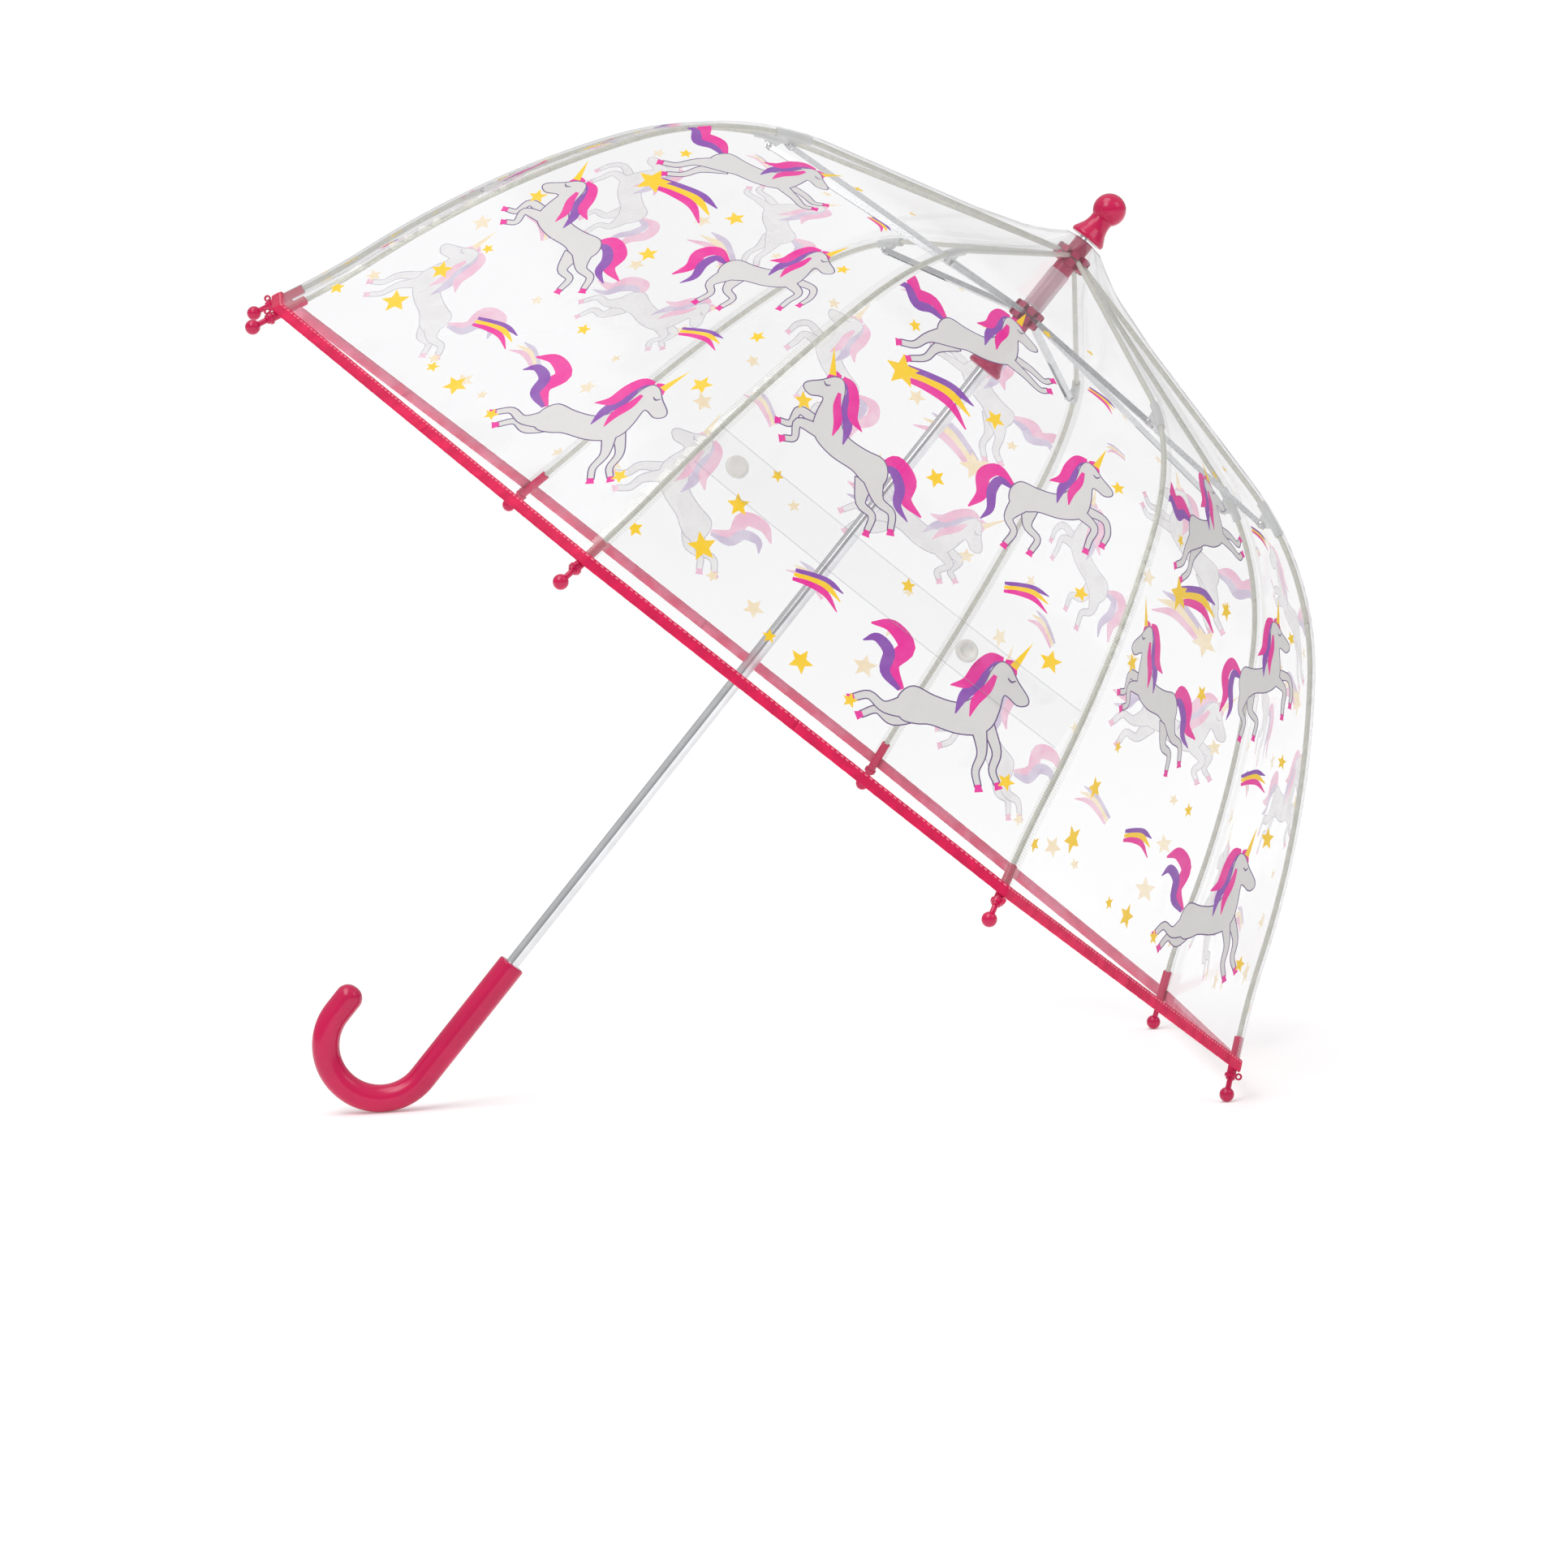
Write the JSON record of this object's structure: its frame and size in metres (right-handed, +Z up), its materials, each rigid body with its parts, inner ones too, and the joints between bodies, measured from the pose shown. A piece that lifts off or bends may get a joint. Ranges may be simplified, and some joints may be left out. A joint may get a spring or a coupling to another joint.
{
  "type": "bubble umbrella",
  "caption": "Child's clear dome umbrella, open and lying on its hooked handle and rib tips, with folding ribs, stretchers and a sliding runner.",
  "frame": {"origin": "on the floor, under the middle of the bounding box of the open umbrella as it lies", "axes": "+Z up, +X from the handle towards the canopy and finial, +Y across the canopy; the shaft leans in the XZ plane"},
  "size_m": [0.5878, 0.6956, 0.5571],
  "materials": {
    "shaft_chrome": "bright chrome tube",
    "pink_gloss": "glossy solid pink moulding",
    "pink_hub": "satin raspberry moulding",
    "wire": "drawn wire",
    "clear_sleeve": "hazy clear tube",
    "clear_film": "clear soft film with a printed pattern",
    "pink_binding": "smooth bright pink binding tape",
    "strap_film": "clear strap film",
    "milky_snap": "milky press stud",
    "rib_fibreglass": "off-white glass fibre rod",
    "bracket_plastic": "translucent white moulding",
    "pink_tip": "glossy pink moulding",
    "stretcher_steel": "bright pressed steel channel"
  },
  "bodies": {
    "main": {"shaft": "shaft_chrome", "handle": "pink_gloss", "finial": "pink_gloss", "notch": "pink_hub", "notch_ring": "wire", "stop_sleeve": "clear_sleeve", "canopy": "clear_film", "rim_binding": "pink_binding", "tie_strap": "strap_film", "snap_stud": "milky_snap"},
    "runner_body": {"runner": "pink_hub", "runner_ring": "wire"},
    "rib_inner_1_body": {"rib_inner_1": "rib_fibreglass", "bracket_1": "bracket_plastic"},
    "rib_mid_1_body": {"rib_mid_1": "rib_fibreglass"},
    "rib_outer_1_body": {"rib_outer_1": "rib_fibreglass", "tip_1": "pink_tip"},
    "stretcher_1_body": {"stretcher_1": "stretcher_steel"},
    "rib_inner_2_body": {"rib_inner_2": "rib_fibreglass", "bracket_2": "bracket_plastic"},
    "rib_mid_2_body": {"rib_mid_2": "rib_fibreglass"},
    "rib_outer_2_body": {"rib_outer_2": "rib_fibreglass", "tip_2": "pink_tip"},
    "stretcher_2_body": {"stretcher_2": "stretcher_steel"},
    "rib_inner_3_body": {"rib_inner_3": "rib_fibreglass", "bracket_3": "bracket_plastic"},
    "rib_mid_3_body": {"rib_mid_3": "rib_fibreglass"},
    "rib_outer_3_body": {"rib_outer_3": "rib_fibreglass", "tip_3": "pink_tip"},
    "stretcher_3_body": {"stretcher_3": "stretcher_steel"},
    "rib_inner_4_body": {"rib_inner_4": "rib_fibreglass", "bracket_4": "bracket_plastic"},
    "rib_mid_4_body": {"rib_mid_4": "rib_fibreglass"},
    "rib_outer_4_body": {"rib_outer_4": "rib_fibreglass", "tip_4": "pink_tip"},
    "stretcher_4_body": {"stretcher_4": "stretcher_steel"},
    "rib_inner_5_body": {"rib_inner_5": "rib_fibreglass", "bracket_5": "bracket_plastic"},
    "rib_mid_5_body": {"rib_mid_5": "rib_fibreglass"},
    "rib_outer_5_body": {"rib_outer_5": "rib_fibreglass", "tip_5": "pink_tip"},
    "stretcher_5_body": {"stretcher_5": "stretcher_steel"},
    "rib_inner_6_body": {"rib_inner_6": "rib_fibreglass", "bracket_6": "bracket_plastic"},
    "rib_mid_6_body": {"rib_mid_6": "rib_fibreglass"},
    "rib_outer_6_body": {"rib_outer_6": "rib_fibreglass", "tip_6": "pink_tip"},
    "stretcher_6_body": {"stretcher_6": "stretcher_steel"},
    "rib_inner_7_body": {"rib_inner_7": "rib_fibreglass", "bracket_7": "bracket_plastic"},
    "rib_mid_7_body": {"rib_mid_7": "rib_fibreglass"},
    "rib_outer_7_body": {"rib_outer_7": "rib_fibreglass", "tip_7": "pink_tip"},
    "stretcher_7_body": {"stretcher_7": "stretcher_steel"},
    "rib_inner_8_body": {"rib_inner_8": "rib_fibreglass", "bracket_8": "bracket_plastic"},
    "rib_mid_8_body": {"rib_mid_8": "rib_fibreglass"},
    "rib_outer_8_body": {"rib_outer_8": "rib_fibreglass", "tip_8": "pink_tip"},
    "stretcher_8_body": {"stretcher_8": "stretcher_steel"}
  },
  "joints": [
    {"name": "runner_slide", "type": "slide", "parent": "main", "child": "runner_body", "axis": [-0.6594, 0, -0.7518], "range_m": [0, 0.31987], "deforming": ["canopy", "rim_binding", "tie_strap", "snap_stud"]},
    {"name": "rib_hinge_1", "type": "hinge", "parent": "main", "child": "rib_inner_1_body", "pos_m": [0.1841, 0.00344, 0.46384], "axis": [-0.2877, 0.9239, 0.2524], "range_deg": [0, 72.45]},
    {"name": "rib_shoulder_flex_1", "type": "hinge", "parent": "rib_inner_1_body", "child": "rib_mid_1_body", "pos_m": [0.27972, 0.07556, 0.30883], "axis": [0.2877, -0.9239, -0.2524], "range_deg": [0, 24.93]},
    {"name": "rib_side_flex_1", "type": "hinge", "parent": "rib_mid_1_body", "child": "rib_outer_1_body", "pos_m": [0.28719, 0.10479, 0.21034], "axis": [0.2877, -0.9239, -0.2524], "range_deg": [0, 20.71]},
    {"name": "stretcher_hinge_1", "type": "hinge", "parent": "runner_body", "child": "stretcher_1_body", "pos_m": [0.15637, 0.00306, 0.43362], "axis": [0.2877, -0.9239, -0.2524], "range_deg": [0, 93.62]},
    {"name": "rib_hinge_2", "type": "hinge", "parent": "main", "child": "rib_inner_2_body", "pos_m": [0.18044, 0.00831, 0.46705], "axis": [-0.6945, 0.3827, 0.6092], "range_deg": [0, 72.45]},
    {"name": "rib_shoulder_flex_2", "type": "hinge", "parent": "rib_inner_2_body", "child": "rib_mid_2_body", "pos_m": [0.19939, 0.18241, 0.3793], "axis": [0.6945, -0.3827, -0.6092], "range_deg": [0, 24.93]},
    {"name": "rib_side_flex_2", "type": "hinge", "parent": "rib_mid_2_body", "child": "rib_outer_2_body", "pos_m": [0.17578, 0.25297, 0.30806], "axis": [0.6945, -0.3827, -0.6092], "range_deg": [0, 20.71]},
    {"name": "stretcher_hinge_2", "type": "hinge", "parent": "runner_body", "child": "stretcher_2_body", "pos_m": [0.15312, 0.00739, 0.43648], "axis": [0.6945, -0.3827, -0.6092], "range_deg": [0, 93.62]},
    {"name": "rib_hinge_3", "type": "hinge", "parent": "main", "child": "rib_inner_3_body", "pos_m": [0.17526, 0.00831, 0.47159], "axis": [-0.6945, -0.3827, 0.6092], "range_deg": [0, 72.45]},
    {"name": "rib_shoulder_flex_3", "type": "hinge", "parent": "rib_inner_3_body", "child": "rib_mid_3_body", "pos_m": [0.08579, 0.18241, 0.47895], "axis": [0.6945, 0.3827, -0.6092], "range_deg": [0, 24.93]},
    {"name": "rib_side_flex_3", "type": "hinge", "parent": "rib_mid_3_body", "child": "rib_outer_3_body", "pos_m": [0.01823, 0.25297, 0.44625], "axis": [0.6945, 0.3827, -0.6092], "range_deg": [0, 20.71]},
    {"name": "stretcher_hinge_3", "type": "hinge", "parent": "runner_body", "child": "stretcher_3_body", "pos_m": [0.14851, 0.00739, 0.44052], "axis": [0.6945, 0.3827, -0.6092], "range_deg": [0, 93.62]},
    {"name": "rib_hinge_4", "type": "hinge", "parent": "main", "child": "rib_inner_4_body", "pos_m": [0.1716, 0.00344, 0.4748], "axis": [-0.2877, -0.9239, 0.2524], "range_deg": [0, 72.45]},
    {"name": "rib_shoulder_flex_4", "type": "hinge", "parent": "rib_inner_4_body", "child": "rib_mid_4_body", "pos_m": [0.00546, 0.07556, 0.54941], "axis": [0.2877, 0.9239, -0.2524], "range_deg": [0, 24.93]},
    {"name": "rib_side_flex_4", "type": "hinge", "parent": "rib_mid_4_body", "child": "rib_outer_4_body", "pos_m": [-0.09317, 0.10479, 0.54397], "axis": [0.2877, 0.9239, -0.2524], "range_deg": [0, 20.71]},
    {"name": "stretcher_hinge_4", "type": "hinge", "parent": "runner_body", "child": "stretcher_4_body", "pos_m": [0.14526, 0.00306, 0.44337], "axis": [0.2877, 0.9239, -0.2524], "range_deg": [0, 93.62]},
    {"name": "rib_hinge_5", "type": "hinge", "parent": "main", "child": "rib_inner_5_body", "pos_m": [0.1716, -0.00344, 0.4748], "axis": [0.2877, -0.9239, -0.2524], "range_deg": [0, 72.45]},
    {"name": "rib_shoulder_flex_5", "type": "hinge", "parent": "rib_inner_5_body", "child": "rib_mid_5_body", "pos_m": [0.00546, -0.07556, 0.54941], "axis": [-0.2877, 0.9239, 0.2524], "range_deg": [0, 24.93]},
    {"name": "rib_side_flex_5", "type": "hinge", "parent": "rib_mid_5_body", "child": "rib_outer_5_body", "pos_m": [-0.09317, -0.10479, 0.54397], "axis": [-0.2877, 0.9239, 0.2524], "range_deg": [0, 20.71]},
    {"name": "stretcher_hinge_5", "type": "hinge", "parent": "runner_body", "child": "stretcher_5_body", "pos_m": [0.14526, -0.00306, 0.44337], "axis": [-0.2877, 0.9239, 0.2524], "range_deg": [0, 93.62]},
    {"name": "rib_hinge_6", "type": "hinge", "parent": "main", "child": "rib_inner_6_body", "pos_m": [0.17526, -0.00831, 0.47159], "axis": [0.6945, -0.3827, -0.6092], "range_deg": [0, 72.45]},
    {"name": "rib_shoulder_flex_6", "type": "hinge", "parent": "rib_inner_6_body", "child": "rib_mid_6_body", "pos_m": [0.08579, -0.18241, 0.47895], "axis": [-0.6945, 0.3827, 0.6092], "range_deg": [0, 24.93]},
    {"name": "rib_side_flex_6", "type": "hinge", "parent": "rib_mid_6_body", "child": "rib_outer_6_body", "pos_m": [0.01823, -0.25297, 0.44625], "axis": [-0.6945, 0.3827, 0.6092], "range_deg": [0, 20.71]},
    {"name": "stretcher_hinge_6", "type": "hinge", "parent": "runner_body", "child": "stretcher_6_body", "pos_m": [0.14851, -0.00739, 0.44052], "axis": [-0.6945, 0.3827, 0.6092], "range_deg": [0, 93.62]},
    {"name": "rib_hinge_7", "type": "hinge", "parent": "main", "child": "rib_inner_7_body", "pos_m": [0.18044, -0.00831, 0.46705], "axis": [0.6945, 0.3827, -0.6092], "range_deg": [0, 72.45]},
    {"name": "rib_shoulder_flex_7", "type": "hinge", "parent": "rib_inner_7_body", "child": "rib_mid_7_body", "pos_m": [0.19939, -0.18241, 0.3793], "axis": [-0.6945, -0.3827, 0.6092], "range_deg": [0, 24.93]},
    {"name": "rib_side_flex_7", "type": "hinge", "parent": "rib_mid_7_body", "child": "rib_outer_7_body", "pos_m": [0.17578, -0.25297, 0.30806], "axis": [-0.6945, -0.3827, 0.6092], "range_deg": [0, 20.71]},
    {"name": "stretcher_hinge_7", "type": "hinge", "parent": "runner_body", "child": "stretcher_7_body", "pos_m": [0.15312, -0.00739, 0.43648], "axis": [-0.6945, -0.3827, 0.6092], "range_deg": [0, 93.62]},
    {"name": "rib_hinge_8", "type": "hinge", "parent": "main", "child": "rib_inner_8_body", "pos_m": [0.1841, -0.00344, 0.46384], "axis": [0.2877, 0.9239, -0.2524], "range_deg": [0, 72.45]},
    {"name": "rib_shoulder_flex_8", "type": "hinge", "parent": "rib_inner_8_body", "child": "rib_mid_8_body", "pos_m": [0.27972, -0.07556, 0.30883], "axis": [-0.2877, -0.9239, 0.2524], "range_deg": [0, 24.93]},
    {"name": "rib_side_flex_8", "type": "hinge", "parent": "rib_mid_8_body", "child": "rib_outer_8_body", "pos_m": [0.28719, -0.10479, 0.21034], "axis": [-0.2877, -0.9239, 0.2524], "range_deg": [0, 20.71]},
    {"name": "stretcher_hinge_8", "type": "hinge", "parent": "runner_body", "child": "stretcher_8_body", "pos_m": [0.15637, -0.00306, 0.43362], "axis": [-0.2877, -0.9239, 0.2524], "range_deg": [0, 93.62]}
  ],
  "couplings": [
    {"joint": "rib_hinge_1", "follows": "runner_slide", "rad_per_m": 3.9523},
    {"joint": "rib_shoulder_flex_1", "follows": "runner_slide", "rad_per_m": 1.3594},
    {"joint": "rib_side_flex_1", "follows": "runner_slide", "rad_per_m": 1.1291},
    {"joint": "stretcher_hinge_1", "follows": "runner_slide", "rad_per_m": 5.1074},
    {"joint": "rib_hinge_2", "follows": "runner_slide", "rad_per_m": 3.9523},
    {"joint": "rib_shoulder_flex_2", "follows": "runner_slide", "rad_per_m": 1.3594},
    {"joint": "rib_side_flex_2", "follows": "runner_slide", "rad_per_m": 1.1291},
    {"joint": "stretcher_hinge_2", "follows": "runner_slide", "rad_per_m": 5.1074},
    {"joint": "rib_hinge_3", "follows": "runner_slide", "rad_per_m": 3.9523},
    {"joint": "rib_shoulder_flex_3", "follows": "runner_slide", "rad_per_m": 1.3594},
    {"joint": "rib_side_flex_3", "follows": "runner_slide", "rad_per_m": 1.1291},
    {"joint": "stretcher_hinge_3", "follows": "runner_slide", "rad_per_m": 5.1074},
    {"joint": "rib_hinge_4", "follows": "runner_slide", "rad_per_m": 3.9523},
    {"joint": "rib_shoulder_flex_4", "follows": "runner_slide", "rad_per_m": 1.3594},
    {"joint": "rib_side_flex_4", "follows": "runner_slide", "rad_per_m": 1.1291},
    {"joint": "stretcher_hinge_4", "follows": "runner_slide", "rad_per_m": 5.1074},
    {"joint": "rib_hinge_5", "follows": "runner_slide", "rad_per_m": 3.9523},
    {"joint": "rib_shoulder_flex_5", "follows": "runner_slide", "rad_per_m": 1.3594},
    {"joint": "rib_side_flex_5", "follows": "runner_slide", "rad_per_m": 1.1291},
    {"joint": "stretcher_hinge_5", "follows": "runner_slide", "rad_per_m": 5.1074},
    {"joint": "rib_hinge_6", "follows": "runner_slide", "rad_per_m": 3.9523},
    {"joint": "rib_shoulder_flex_6", "follows": "runner_slide", "rad_per_m": 1.3594},
    {"joint": "rib_side_flex_6", "follows": "runner_slide", "rad_per_m": 1.1291},
    {"joint": "stretcher_hinge_6", "follows": "runner_slide", "rad_per_m": 5.1074},
    {"joint": "rib_hinge_7", "follows": "runner_slide", "rad_per_m": 3.9523},
    {"joint": "rib_shoulder_flex_7", "follows": "runner_slide", "rad_per_m": 1.3594},
    {"joint": "rib_side_flex_7", "follows": "runner_slide", "rad_per_m": 1.1291},
    {"joint": "stretcher_hinge_7", "follows": "runner_slide", "rad_per_m": 5.1074},
    {"joint": "rib_hinge_8", "follows": "runner_slide", "rad_per_m": 3.9523},
    {"joint": "rib_shoulder_flex_8", "follows": "runner_slide", "rad_per_m": 1.3594},
    {"joint": "rib_side_flex_8", "follows": "runner_slide", "rad_per_m": 1.1291},
    {"joint": "stretcher_hinge_8", "follows": "runner_slide", "rad_per_m": 5.1074}
  ]
}
